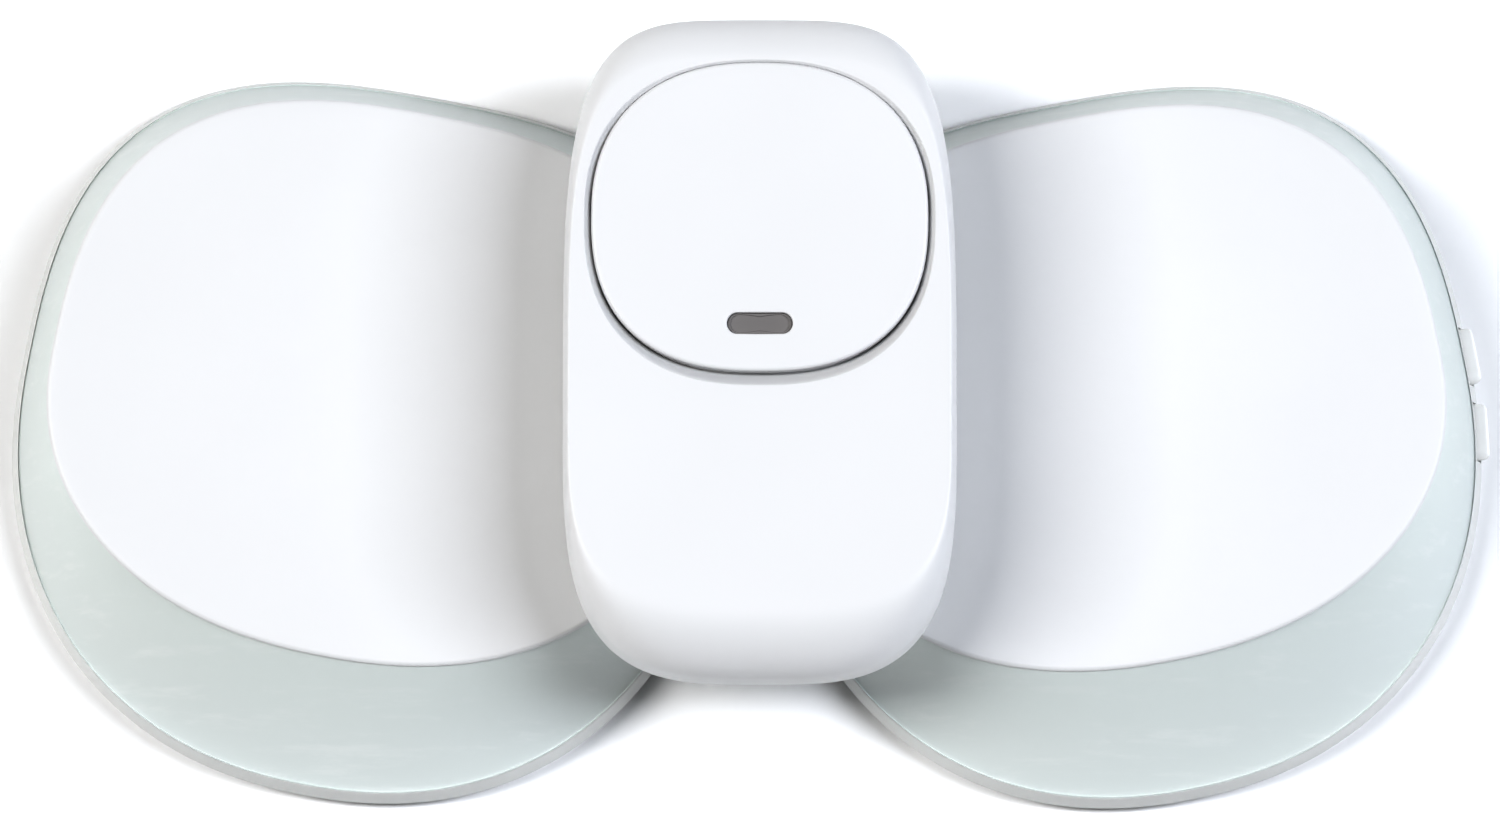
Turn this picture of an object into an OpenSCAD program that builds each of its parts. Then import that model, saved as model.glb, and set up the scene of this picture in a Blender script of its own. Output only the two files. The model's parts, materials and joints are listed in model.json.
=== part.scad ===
// Wireless doorbell set laid flat: two battery chimes with a translucent halo
// round a white face, and one bell push resting across them.
// Millimetres. +Z is up, out of the faces; +Y is towards the units' tops.
// The origin is the centre of the set's footprint, on the surface it lies on.

/* [Chime housing] */
// Half of the chime's greatest width
chime_half_w = 44.5; // [43:0.1:54]
// Outline height above the widest line
chime_top = 42.3; // [41:0.1:51]
// Outline height below the widest line
chime_bottom = 46.5; // [45:0.1:56]
// Squareness of the outline's top half
chime_top_curve = 2.8; // [2.4:0.05:3.4]
// Squareness of the outline's bottom half
chime_bottom_curve = 2.2; // [2.1:0.05:2.8]
// Height of the rubber feet
foot_h = 0.8; // [0.6:0.1:1.6]
// Thickness of the housing floor and of the battery door
floor_t = 1.6; // [1.4:0.1:2.2]
// Thickness of the housing side wall at the seam
wall_t = 2.0; // [1.6:0.1:2.4]
// Height of the rim from the floor's outside to the halo seam
rim_h = 5.2; // [5:0.1:6.4]
// How far the rim draws in between its widest line and the seam
rim_draw = 0.8; // [0.4:0.1:1.2]
// Thickness of the shelf that carries the light board
shelf_t = 1.4; // [1.1:0.1:1.6]
// How far the underside's rounded edge draws in
under_in = 1.6; // [0.8:0.1:2]
// Height of the underside's rounded edge
under_up = 1.8; // [1:0.1:2.4]

/* [Face and halo] */
// How far the base stands out past the face at each side
halo_side = 4.5; // [4:0.1:6]
// How far the base stands out past the face at the top
halo_top = 4.8; // [4:0.1:6]
// How far the base stands out past the face at the bottom
halo_bottom = 15.3; // [12:0.1:18]
// Squareness of the face's top half
face_top_curve = 2.67; // [2.4:0.01:3]
// Squareness of the face's bottom half
face_bottom_curve = 2.2; // [2.1:0.01:2.6]
// Thickness of the front cover
cover_t = 1.8; // [1.4:0.1:2.6]
// Rounding of the front cover's edge
cover_edge = 0.6; // [0.3:0.1:1]
// Wall of the translucent halo
halo_t = 1.8; // [1.4:0.1:2.2]
// How hollow the halo's flare is: 1 is a straight cone
halo_flare = 1.35; // [1:0.05:1.6]
// Distance from the face's edge in to the light baffle
baffle_inset = 2.2; // [2.1:0.1:2.8]
// Wall of the light baffle
baffle_t = 1.2; // [0.8:0.1:1.4]
// Thickness of the light board
led_board_t = 1.0; // [0.8:0.1:1.6]
// Number of lamps round the halo
led_count = 16; // [8:1:24]

/* [Cells and electronics] */
// Diameter of one cell
cell_d = 10.5; // [9:0.1:12.6]
// Length of one cell
cell_l = 44.5; // [40:0.1:46]
// Number of cells side by side
cell_count = 3; // [2:1:3]
// Length of the contact at each end of a cell
contact_l = 3.0; // [2.6:0.1:4]
// Centre of the cell row from the widest line
cell_row_y = -4.5; // [-5:0.1:-4]
// Thickness of the main board
board_t = 1.0; // [0.8:0.1:1.6]
// Half width of the main board
board_half_w = 28.2; // [22:0.1:28.2]
// Free height above the main board for its parts
parts_room = 3.2; // [2.8:0.1:6]
// Radius of the speaker
speaker_r = 10; // [7:0.1:10]
// Depth of the speaker with its magnet
speaker_h = 7.6; // [6.4:0.1:9]

/* [Side keys] */
// Place of the volume key along the side
volume_y = 1.0; // [0.5:0.1:3]
// Place of the tune key along the side
tune_y = -8.6; // [-11:0.1:-8.2]
// Length of each key
key_l = 6.9; // [5:0.1:7.1]
// Height of each key
key_h = 2.6; // [2:0.1:2.6]
// How far a key stands out of the rim
key_proud = 0.9; // [0.7:0.1:1.2]
// Travel of each key
key_travel = 0.6; // [0.3:0.1:0.6]

/* [Bell push] */
// Half of the push's greatest width
push_half_w = 24.1; // [24:0.1:30]
// Outline height above the widest line
push_top = 51; // [50:0.1:62]
// Outline height below the widest line
push_bottom = 30.4; // [30:0.1:38]
// Squareness of the push outline's top half
push_top_curve = 4.3; // [2.5:0.1:5.2]
// Squareness of the push outline's bottom half
push_bottom_curve = 3.3; // [2.8:0.1:4]
// Wall of the push housings
push_wall = 1.8; // [1.4:0.1:2]
// Thickness of the back housing's floor
back_floor = 1.4; // [1.2:0.1:2]
// Height of the back housing
back_h = 3.5; // [3.2:0.1:4.5]
// Height of the front housing
front_h = 13.8; // [13:0.1:17]
// Height over which the front edge rounds over
round_h = 8; // [5:0.1:9]
// How far the rounded edge draws in at the sides
round_side = 0.8; // [0.6:0.1:3.4]
// How far the rounded edge draws in at the top
round_top = 6; // [4:0.1:6.4]
// How far the rounded edge draws in at the bottom
round_bottom = 8; // [5:0.1:10]
// Thickness of the wall bracket
bracket_t = 2.4; // [2:0.1:3]
// Distance between the bracket's two screw holes
bracket_pitch = 56; // [50:0.5:60]
// Radius of the bracket's screw holes
bracket_hole_r = 2.1; // [1.6:0.05:2.6]
// Radius of the coin cell
coin_r = 10; // [8:0.1:10.5]
// Thickness of the coin cell
coin_t = 3.2; // [2:0.1:3.2]

/* [Press cap] */
// Half width of the press cap
cap_half_w = 20.6; // [15:0.1:20.8]
// Cap outline above its widest line
cap_top = 19.15; // [15:0.1:19.7]
// Cap outline below its widest line
cap_bottom = 19.0; // [15:0.1:19.5]
// Squareness of the cap's top half
cap_top_curve = 2.35; // [2:0.05:3]
// Squareness of the cap's bottom half
cap_bottom_curve = 2.45; // [2:0.05:3]
// Centre of the cap above the push's widest line
cap_y = 25.5; // [24:0.1:26]
// Thickness of the cap
cap_t = 1.9; // [1.6:0.1:2.4]
// Gap round the cap at its sides
cap_gap = 0.9; // [0.6:0.1:1.2]
// Gap above the cap
cap_gap_top = 0.3; // [0.2:0.05:0.8]
// Gap below the cap
cap_gap_bottom = 1.8; // [0.6:0.1:2.2]
// Travel of the press cap
cap_travel = 0.8; // [0.4:0.1:1]
// Length of the indicator window
window_l = 8.0; // [6:0.1:9]
// Width of the indicator window
window_w = 2.6; // [2:0.1:3]
// Centre of the window below the cap's centre
window_drop = 13.1; // [11:0.1:13.5]

/* [Arrangement] */
// Turn of the left chime, its top leaning in
left_turn = 10.8; // [0:0.1:15]
// Turn of the right chime, its top leaning in
right_turn = 11.1; // [0:0.1:15]
// Least gap between the two chimes
chime_gap = 1.2; // [1.1:0.1:6]
// How much lower the right chime lies
right_drop = 0.6; // [0:0.1:3]
// Push centre to the right of the middle between the chimes
push_dx = 1.6; // [-3:0.1:3]
// Push's widest line below the chimes' widest line
push_dy = -4.7; // [-8:0.1:2]
// Free gap between the push and the chime faces
rest_gap = 0.3; // [0.3:0.05:1]

/* [Hidden] */
$fn = 48;
outline_n = 72;
fit = 0.3;            // free gap between pieces that move past each other
eps = 0.02;

// ---- heights in a chime, from the surface it lies on
floor_z = foot_h + floor_t;
seam_z = foot_h + rim_h;
cell_gap = 0.4;
cell_z = floor_z + fit + cell_gap / 2 + cell_d / 2;
tray_top_t = 0.8;
tray_z = cell_z + cell_d / 2 + cell_gap + tray_top_t;
standoff = 0.4;
board_z = tray_z + standoff;
cover_z = board_z + board_t + parts_room;
chime_h = cover_z + cover_t;
baffle_z = seam_z + led_board_t;

// ---- places in a chime
cell_pitch = cell_d + 0.5;
tray_half_x = cell_l / 2 + contact_l;
tray_half_y = (cell_count - 1) / 2 * cell_pitch + cell_d / 2 + 0.4;
tray_wall = 1.0;
door_half_w = tray_half_x - 0.9;
door_top = cell_row_y + tray_half_y;
contact_half_w = 3.6;
tongue_w = 1.0;
tongue_t = 0.6;
speaker_y = door_top + tray_wall + 0.4 + speaker_r;
post_r = 3.0;
post_top = cover_z - 5.8;
post_head_z = foot_h + 8.6;
post_places = [[31.8, 4], [-31.8, 4], [16.5, 28], [-16.5, 28]];
post_head_hole_r = 2.1;
screw_head_r = 1.9;
screw_r = 0.85;
post_hole_r = 1.2;
pilot_r = 0.95;
boss_r = 2.4;
pin_places = [[24, -12], [-24, -12], [24, 8], [-24, 8]];
pin_r = 0.95;
keyhole_r = 4.2;
keyhole_y = door_top + 1.85 + keyhole_r;
keyhole_places = [[23.5, keyhole_y], [-23.5, keyhole_y]];
keyhole_slot_r = 2.1;
keyhole_rise = 6;
foot_places = [[31, -24], [-31, -24], [30, 26], [-30, 26]];
foot_r = 3.6;
key_z = floor_z + 0.4;
key_flange_t = 0.8;
key_flange_over = 0.8;
key_wall = wall_t + rim_draw;
key_slack = 0.25;

// ---- heights in the push, from its underside
pad_t = 0.8;
back_z = bracket_t + fit;
split_z = back_z + back_h;
push_h = split_z + front_h;
well_z = push_h - cap_t - cap_travel - 0.1;
well_t = 1.2;
collar_t = 1.4;         // wall round the cap's well
coin_y = -6;
coin_z = back_z + back_floor + 1.2;
coin_cover_r = coin_r + 1.3;
lug_r = coin_cover_r + 1.5;
lug_z = back_z + back_floor + 0.1;
lug_t = 0.8;
lug_half_w = 4;
push_board_z = coin_z + coin_t + 0.7;
push_board_t = 1.0;
switch_h = 2.8;
plunger_h = 0.8;
cap_boss_r = 3.6;
cap_boss_z = push_board_z + push_board_t + switch_h + plunger_h + cap_travel + 0.1;
push_high_y = push_top - 13;
push_low_y = 7.9 - push_bottom;
push_post_places = [[14.5, push_high_y], [-14.5, push_high_y], [15, push_low_y], [-15, push_low_y]];
push_post_r = 2.3;
push_head_r = 1.5;
push_head_hole_r = 1.7;
push_shank_r = 0.8;
push_shank_hole_r = 1.0;
push_pilot_r = 0.85;
push_head_z = back_z + 1.8;
push_pin_places = [[13.4, push_high_y - 8], [-13.4, push_high_y - 8],
                   [15, push_low_y + 7.5], [-15, push_low_y + 7.5]];
hook_places = [[0, push_top - 7], [0, push_low_y - 4]];
bracket_mid = 8;
bracket_in = 3;         // bracket's edge inside the push's outline
back_in = 0.4;          // back housing's step inside the front housing
seal_in = 1.05;         // seal groove inside the push's outline
seal_w = 0.5;
seal_h = 0.4;
hook_half_w = 4;
hook_t = 1.4;
pad_half_x = 12.8;
pad_half_y = 7.8;
pad_gap = 0.2;
pad_places = [[0, bracket_mid - 14], [0, bracket_mid + 14]];

// ---- outlines
function spow(v, p) = sign(v) * pow(abs(v), p);
function egg(a, top, bottom, top_curve, bottom_curve) =
    [for (i = [0:outline_n - 1])
        let (t = 360 * i / outline_n, up = t <= 180,
             k = up ? top_curve : bottom_curve, b = up ? top : bottom)
        [a * spow(cos(t), 2 / k), b * spow(sin(t), 2 / k)]];
// How far a point lies outside the face outline drawn in by d, as a length; negative inside
function outside(p, d) =
    let (up = p[1] >= 0, k = up ? face_top_curve : face_bottom_curve,
         a = chime_half_w - halo_side - d,
         b = (up ? chime_top - halo_top : chime_bottom - halo_bottom) - d)
    (pow(pow(abs(p[0]) / a, k) + pow(abs(p[1]) / b, k), 1 / k) - 1) * max(a, b);
// The chime grows by this much where its cells or its speaker need more room
cell_low_y = cell_row_y - (cell_count - 1) / 2 * cell_pitch;
inside_gap = baffle_inset + baffle_t + fit;
grow = max(0, outside([cell_l / 2, cell_low_y - cell_d / 2], inside_gap + tray_wall),
           outside([cell_l / 2 + contact_l, cell_low_y - contact_half_w], inside_gap + tray_wall),
           max([for (t = [0:15:90])
                outside([speaker_r * cos(t), speaker_y + speaker_r * sin(t)], inside_gap)]));
base_half_w = chime_half_w + grow;
base_top = chime_top + grow;
base_bottom = chime_bottom + grow;
// Base outline drawn in by d
function base_line(d = 0) =
    egg(base_half_w - d, base_top - d, base_bottom - d, chime_top_curve, chime_bottom_curve);
// Face outline drawn in by d
function face_line(d = 0) =
    egg(base_half_w - halo_side - d, base_top - halo_top - d, base_bottom - halo_bottom - d,
        face_top_curve, face_bottom_curve);
function blend_line(p, q, u) = [for (i = [0:len(p) - 1]) p[i] * (1 - u) + q[i] * u];
function push_line(d = 0) =
    egg(push_half_w - d, push_top - d, push_bottom - d, push_top_curve, push_bottom_curve);
// Push outline drawn in unequally: little at the sides, more at the ends
function push_edge(u, d = 0) =
    egg(push_half_w - d - round_side * u, push_top - d - round_top * u,
        push_bottom - d - round_bottom * u, push_top_curve, push_bottom_curve);
function cap_line(d = 0) =
    egg(cap_half_w - d, cap_top - d, cap_bottom - d, cap_top_curve, cap_bottom_curve);
function well_line(d = 0) =
    egg(cap_half_w + cap_gap - d, cap_top + cap_gap_top - d, cap_bottom + cap_gap_bottom - d,
        cap_top_curve, cap_bottom_curve);

// ---- where the chimes lie: their turned outlines stand chime_gap apart
function turned_x(points, angle) = [for (p = points) p[0] * cos(angle) - p[1] * sin(angle)];
function turned_y(points, angle) = [for (p = points) p[0] * sin(angle) + p[1] * cos(angle)];
left_reach = max(turned_x(base_line(), -left_turn));
right_reach = -min(turned_x(base_line(), right_turn));
span = left_reach + right_reach + chime_gap;
low_x = -span / 2 + min(turned_x(base_line(), -left_turn));
high_x = span / 2 + max(concat(turned_x(base_line(), right_turn),
                               turned_x([for (y = [volume_y, tune_y]) for (e = [-1, 1])
                                         key_corner(y, e)], right_turn)));
low_y = min(min(turned_y(base_line(), -left_turn)),
            min(turned_y(base_line(), right_turn)) - right_drop);
high_y = max(push_dy + push_top, max(turned_y(base_line(), -left_turn)));
mid_x = (low_x + high_x) / 2;
mid_y = (low_y + high_y) / 2;
left_x = -span / 2 - mid_x;
right_x = span / 2 - mid_x;
left_y = -mid_y;
right_y = -mid_y - right_drop;
push_x = push_dx - mid_x;
push_y = push_dy - mid_y;
push_z = chime_h + rest_gap;

// ---- the rim's side where a key sits: half width and outward direction at height y
function side_curve(y) = y >= 0 ? chime_top_curve : chime_bottom_curve;
function side_b(y) = y >= 0 ? base_top : base_bottom;
function side_x(y) =
    base_half_w * pow(1 - pow(abs(y) / side_b(y), side_curve(y)), 1 / side_curve(y));
function side_turn(y) = atan2(side_x(y - 0.5) - side_x(y + 0.5), 1);
function key_corner(y, e) =
    [side_x(y) + key_proud * cos(side_turn(y)) - e * key_l / 2 * sin(side_turn(y)),
     y + key_proud * sin(side_turn(y)) + e * key_l / 2 * cos(side_turn(y))];

// ---- shared shapes
// Closed solid through a stack of outlines, each given as [points, height]
module loft(rings) {
    n = outline_n;
    m = len(rings);
    polyhedron(
        points = [for (r = rings) for (p = r[0]) [p[0], p[1], r[1]]],
        faces = concat(
            [[for (i = [0:n - 1]) i]],
            [[for (i = [n - 1:-1:0]) (m - 1) * n + i]],
            [for (k = [0:m - 2]) for (i = [0:n - 1])
                [k * n + i, (k + 1) * n + i, (k + 1) * n + (i + 1) % n]],
            [for (k = [0:m - 2]) for (i = [0:n - 1])
                [k * n + i, (k + 1) * n + (i + 1) % n, k * n + (i + 1) % n]]));
}
module slab(points, z0, z1) translate([0, 0, z0]) linear_extrude(z1 - z0) polygon(points);
module block(x0, x1, y0, y1, z0, z1) translate([x0, y0, z0]) cube([x1 - x0, y1 - y0, z1 - z0]);
module rod(r, z0, z1) translate([0, 0, z0]) cylinder(r = r, h = z1 - z0);
module pill(l, w, z0, z1) {
    block(-(l - w) / 2, (l - w) / 2, -w / 2, w / 2, z0, z1);
    for (s = [-1, 1]) translate([s * (l - w) / 2, 0, 0]) rod(w / 2, z0, z1);
}
module at_each(places) for (p = places) translate([p[0], p[1], 0]) children();

// ---- places
module on_left() translate([left_x, left_y, 0]) rotate(-left_turn) children();
module on_right() translate([right_x, right_y, 0]) rotate(right_turn) children();
module on_push() translate([push_x, push_y, push_z]) children();
module on_cap() on_push() translate([0, cap_y, 0]) children();
module at_key(y) translate([side_x(y), y, 0]) rotate(side_turn(y)) children();

// ---- chime: shells
module base_solid(top_z) {
    steps = 3;
    rings = concat([for (k = [0:steps]) let (t = 90 * k / steps)
                    [base_line(under_in * (1 - sin(t))), foot_h + under_up * (1 - cos(t))]],
                   [[base_line(rim_draw), seam_z]]);
    intersection() {
        loft(rings);
        block(-99, 99, -99, 99, 0, top_z);
    }
}
module rear_housing() color("gainsboro") difference() {
    union() {
        difference() {
            base_solid(seam_z);
            slab(base_line(key_wall), floor_z, seam_z - shelf_t);
            slab(face_line(baffle_inset + baffle_t), floor_z, seam_z + 1);
        }
        battery_tray();
        at_each(post_places) rod(post_r, floor_z - eps, post_top);
        at_each(pin_places) {
            rod(2, tray_z - eps, board_z);
            rod(pin_r, tray_z - eps, board_z + board_t + 0.3);
        }
    }
    at_each(post_places) {
        rod(post_head_hole_r, 0, post_head_z);
        rod(post_hole_r, 0, post_top + 1);
    }
    door_way();
    at_each(keyhole_places) {
        rod(keyhole_r, 0, floor_z + eps);
        block(-keyhole_slot_r, keyhole_slot_r, 0, keyhole_rise, 0, floor_z + eps);
        translate([0, keyhole_rise, 0]) rod(keyhole_slot_r, 0, floor_z + eps);
    }
    for (i = [-2:2]) translate([0, speaker_y + i * 3, 0])
        pill(2 * (speaker_r - 2.4) * cos(20 * i), 1.4, 0, floor_z + eps);
    for (y = [volume_y, tune_y]) at_key(y) {
        block(-key_wall - 1.2, 1.5, -key_l / 2 - key_slack, key_l / 2 + key_slack,
              key_z - key_slack, key_z + key_h + key_slack);
        block(-9.6, -key_wall, -key_l / 2 - 1.2, key_l / 2 + 1.2, key_z - 0.3, seam_z + 1);
    }
}
module battery_tray() difference() {
    slab_in_baffle(fit, tray_half_x + tray_wall, cell_row_y - tray_half_y - tray_wall,
                   door_top + tray_wall, floor_z - eps, tray_z);
    slab_in_baffle(fit + tray_wall, tray_half_x, cell_row_y - tray_half_y,
                   door_top, 0, tray_z - tray_top_t);
}
// Rectangle with its corners kept inside the light baffle
module slab_in_baffle(gap, half_x, y0, y1, z0, z1) intersection() {
    block(-half_x, half_x, y0, y1, z0, z1);
    slab(face_line(baffle_inset + baffle_t + gap), z0 - 1, z1 + 1);
}
module door_way() {
    block(-door_half_w - fit, door_half_w + fit, -99, door_top + fit, -1, floor_z + fit);
    block(-door_half_w - tongue_w - fit, door_half_w + tongue_w + fit, -99, door_top + fit,
          floor_z - tongue_t - fit, floor_z + fit);
}
module battery_door() color("gainsboro") difference() {
    intersection() {
        base_solid(floor_z);
        union() {
            block(-door_half_w, door_half_w, -99, door_top, 0, floor_z);
            block(-door_half_w - tongue_w, door_half_w + tongue_w, -99, door_top,
                  floor_z - tongue_t, floor_z);
        }
    }
    for (i = [0:3]) translate([0, -30 - 2 * i, 0]) pill(14, 0.9, 0, foot_h + 0.5);
}
// Share of the halo's height lost at share u of its flare
function drop(u) = 1 - pow(1 - u, halo_flare);
module halo_diffuser() color([0.84, 0.89, 0.87]) {
    steps = 5;
    top_line = face_line();
    low_line = base_line(rim_draw);
    outer = [for (k = [0:steps]) let (u = 1 - k / steps)
             [blend_line(top_line, low_line, u), cover_z - (cover_z - seam_z) * drop(u)]];
    top_in = face_line(halo_t);
    low_in = base_line(rim_draw + halo_t);
    inner = [for (k = [0:steps]) let (u = 1 - k / steps)
             [blend_line(top_in, low_in, u), cover_z - (cover_z - seam_z) * drop(u)]];
    difference() {
        loft(outer);
        loft(concat([[low_in, seam_z - 1]], inner, [[top_in, cover_z + 1]]));
    }
}
module front_cover() color("white") {
    difference() {
        union() {
            loft([[face_line(), cover_z], [face_line(), chime_h - cover_edge],
                  [face_line(cover_edge * 0.3), chime_h - cover_edge * 0.3],
                  [face_line(cover_edge), chime_h]]);
            at_each(post_places) rod(boss_r, post_top, cover_z + eps);
        }
        at_each(post_places) rod(pilot_r, post_top - 1, cover_z - 1.2);
    }
}
module light_baffle() color("white") difference() {
    slab(face_line(baffle_inset), baffle_z, cover_z);
    slab(face_line(baffle_inset + baffle_t), baffle_z - 1, cover_z + 1);
}

// ---- chime: light board and lamps
// The board's outer edge keeps inside the halo's wall at its own height
lamp_share = 0.45;
board_share = 0.72;
function halo_room(u) = blend_line(face_line(baffle_inset), base_line(rim_draw + halo_t), u);
module led_board() color("honeydew") difference() {
    slab(halo_room(board_share), seam_z, baffle_z);
    slab(face_line(baffle_inset + baffle_t), seam_z - 1, baffle_z + 1);
}
module leds() color("lightyellow") for (i = [0:led_count - 1])
    let (p = halo_room(lamp_share)[floor(i * outline_n / led_count)])
    translate([p[0], p[1], baffle_z]) rotate(atan2(p[1], p[0]))
    block(-0.6, 0.6, -1, 1, 0, 0.8);

// ---- chime: power and electronics
module cells() for (i = [0:cell_count - 1]) {
    flip = i % 2 == 0 ? 1 : -1;
    translate([0, cell_row_y + (i - (cell_count - 1) / 2) * cell_pitch, cell_z])
    rotate([0, 90 * flip, 0]) color("darkseagreen") {
        translate([0, 0, -cell_l / 2]) cylinder(d = cell_d, h = cell_l - 1);
        translate([0, 0, cell_l / 2 - 1 - eps]) cylinder(d = cell_d * 0.38, h = 1 + eps);
    }
}
module cell_contacts() for (i = [0:cell_count - 1]) for (s = [-1, 1]) {
    flip = i % 2 == 0 ? 1 : -1;
    translate([0, cell_row_y + (i - (cell_count - 1) / 2) * cell_pitch, cell_z])
    rotate([0, 90 * s, 0]) color("silver") {
        translate([-contact_half_w, -contact_half_w, cell_l / 2 + contact_l - 0.5])
            cube([2 * contact_half_w, 2 * contact_half_w, 0.4]);
        translate([0, 0, cell_l / 2 + 0.05]) {
            if (s == flip) cylinder(r = 2, h = contact_l - 0.5);
            else difference() {
                cylinder(r1 = 2.6, r2 = 3.6, h = contact_l - 0.5);
                translate([0, 0, -1]) cylinder(r1 = 1.6, r2 = 2.7, h = contact_l - 0.5);
            }
        }
    }
}
module main_board() color("seagreen") difference() {
    slab_in_baffle(0.8, board_half_w, -17, 22, board_z, board_z + board_t);
    at_each(pin_places) rod(pin_r + 0.1, board_z - 1, board_z + board_t + 1);
}
module board_parts() translate([0, 0, board_z + board_t]) {
    color("dimgray") block(-5, 5, -6, 4, 0, 1.0);
    color("dimgray") block(9, 15, -5, 0, 0, 1.2);
    color("dimgray") block(-16, -11, 6, 11, 0, 0.9);
    color("silver") block(6, 10, 6, 8, 0, 1.2);
    color("silver") translate([-17, -8, 0]) cylinder(r = 2.6, h = 2.4);
    color("ivory") block(14, 20, 12, 17, 0, 2.4);
    color("ivory") block(-21, -17, -1, 4, 0, 2.4);
    color("black") for (i = [0:4]) block(-8 + i * 3, -6.4 + i * 3, -12, -11.2, 0, 0.5);
}
module antenna() color("goldenrod") translate([0, 19.5, board_z + board_t]) {
    for (s = [-1, 1]) translate([s * 11, 0, 0]) cylinder(r = 0.4, h = 1.6);
    translate([-11.4, 0, 1.6]) rotate([0, 90, 0]) cylinder(r = 0.4, h = 22.8);
}
module speaker_basket() color("gray") translate([0, speaker_y, floor_z]) {
    difference() {
        union() {
            cylinder(r = speaker_r, h = 1.4);
            translate([0, 0, 1.4 - eps])
                cylinder(r1 = speaker_r - 1, r2 = speaker_r * 0.62, h = speaker_h - 4.6 + eps);
        }
        translate([0, 0, -1]) cylinder(r = speaker_r - 1.6, h = 1 + 1.4);
        translate([0, 0, 1.4 - eps])
            cylinder(r1 = speaker_r - 1.8, r2 = speaker_r * 0.62 - 0.8, h = speaker_h - 5.4 + eps);
    }
}
module speaker_cone() color("black") translate([0, speaker_y, floor_z + 0.6]) difference() {
    cylinder(r1 = speaker_r - 1.9, r2 = 2.6, h = 2.2);
    translate([0, 0, -0.4]) cylinder(r1 = speaker_r - 1.9, r2 = 2.6, h = 2.2);
}
module speaker_magnet() color("silver") translate([0, speaker_y, floor_z + speaker_h - 3.2])
    cylinder(r = speaker_r * 0.55, h = 3.2);

// ---- chime: keys
module key_body(y) color("floralwhite") at_key(y) {
    difference() {
        translate([-key_wall - fit - eps, 0, key_z + key_h / 2]) rotate([0, 90, 0])
            rounded_bar(key_h, key_l, 0.5, key_proud + key_wall + fit + eps);
        for (s = [-1, 1]) translate([key_proud, s * key_l / 2, 0]) rotate(s * 45)
            block(-0.4, 0.6, -2, 2, 0, key_z + key_h + 1);
    }
    block(-key_wall - fit - key_flange_t, -key_wall - fit, -key_l / 2 - key_flange_over,
          key_l / 2 + key_flange_over, key_z - 0.1, key_z + key_h + 0.2);
}
module rounded_bar(h, l, r, depth) linear_extrude(depth) {
    square([h - 2 * r, l], center = true);
    square([h, l - 2 * r], center = true);
    for (a = [-1, 1]) for (b = [-1, 1])
        translate([a * (h / 2 - r), b * (l / 2 - r)]) circle(r);
}
module volume_key() key_body(volume_y);
module tune_key() key_body(tune_y);
module key_switches() for (y = [volume_y, tune_y]) at_key(y) {
    back = -key_wall - fit - key_flange_t;
    tip = back - key_travel - 0.1;
    color("seagreen") block(tip - 4.2, tip - 0.3, -3.2, 3.2, floor_z, floor_z + 0.6);
    color("dimgray") block(tip - 3.6, tip - 0.8, -2.2, 2.2, floor_z + 0.6, floor_z + 2.8);
    color("ivory") translate([tip - 0.8 - eps, 0, floor_z + 1.7]) rotate([0, 90, 0])
        cylinder(r = 0.7, h = 0.8 + eps);
}
module screws() color("silver") at_each(post_places) {
    difference() {
        rod(screw_head_r, post_head_z - 1.6, post_head_z);
        block(-1.2, 1.2, -0.25, 0.25, post_head_z - 2, post_head_z - 0.9);
        block(-0.25, 0.25, -1.2, 1.2, post_head_z - 2, post_head_z - 0.9);
    }
    rod(screw_r, post_head_z - eps, post_top + 3.4);
}
module feet() color("dimgray") at_each(foot_places) rod(foot_r, 0, foot_h);

// ---- bell push
module push_bracket() color("white") difference() {
    union() {
        slab(push_line(bracket_in), 0, bracket_t);
        at_each(hook_places)
            block(-hook_half_w, hook_half_w, -hook_t / 2, hook_t / 2, bracket_t - eps,
                  back_z + back_floor + 0.9);
    }
    for (s = [-1, 1]) translate([0, bracket_mid + s * bracket_pitch / 2, 0]) {
        rod(bracket_hole_r, -1, bracket_t + 1);
        translate([0, 0, bracket_t - 1]) cylinder(r1 = bracket_hole_r, r2 = bracket_hole_r + 1.6,
                                                  h = 1.6);
    }
    at_each(pad_places) pad(pad_gap, -1);
}
module pad(grow, z0)
    block(-pad_half_x - grow, pad_half_x + grow, -pad_half_y - grow, pad_half_y + grow, z0, pad_t);
module bracket_pads() color("whitesmoke") at_each(pad_places) pad(0, 0);
module push_back() color("gainsboro") difference() {
    union() {
        difference() {
            loft([[push_line(back_in + 1), back_z], [push_line(back_in + 0.2), back_z + 0.6],
                  [push_line(back_in), back_z + 1.4], [push_line(back_in), split_z]]);
            slab(push_line(back_in + push_wall), back_z + back_floor, split_z + 1);
        }
        at_each(push_post_places) rod(push_post_r, back_z + back_floor - eps, split_z);
        at_each(push_pin_places) {
            rod(1.8, back_z + back_floor - eps, push_board_z);
            rod(0.8, push_board_z - eps, push_board_z + push_board_t + 0.3);
        }
    }
    at_each(push_post_places) {
        rod(push_head_hole_r, 0, push_head_z);
        rod(push_shank_hole_r, 0, split_z + 1);
    }
    at_each(hook_places) block(-hook_half_w - fit, hook_half_w + fit, -hook_t / 2 - fit,
                               hook_t / 2 + fit, 0, split_z);
    translate([0, coin_y, 0]) {
        rod(coin_cover_r + fit, 0, back_z + back_floor + 1);
        lugs(fit, 2, 0, back_z + back_floor + 1, 45);
    }
    difference() {
        slab(push_line(seal_in - 0.05), split_z - seal_h, split_z + 1);
        slab(push_line(seal_in + seal_w + 0.05), split_z - 1, split_z + 2);
    }
}
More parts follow.
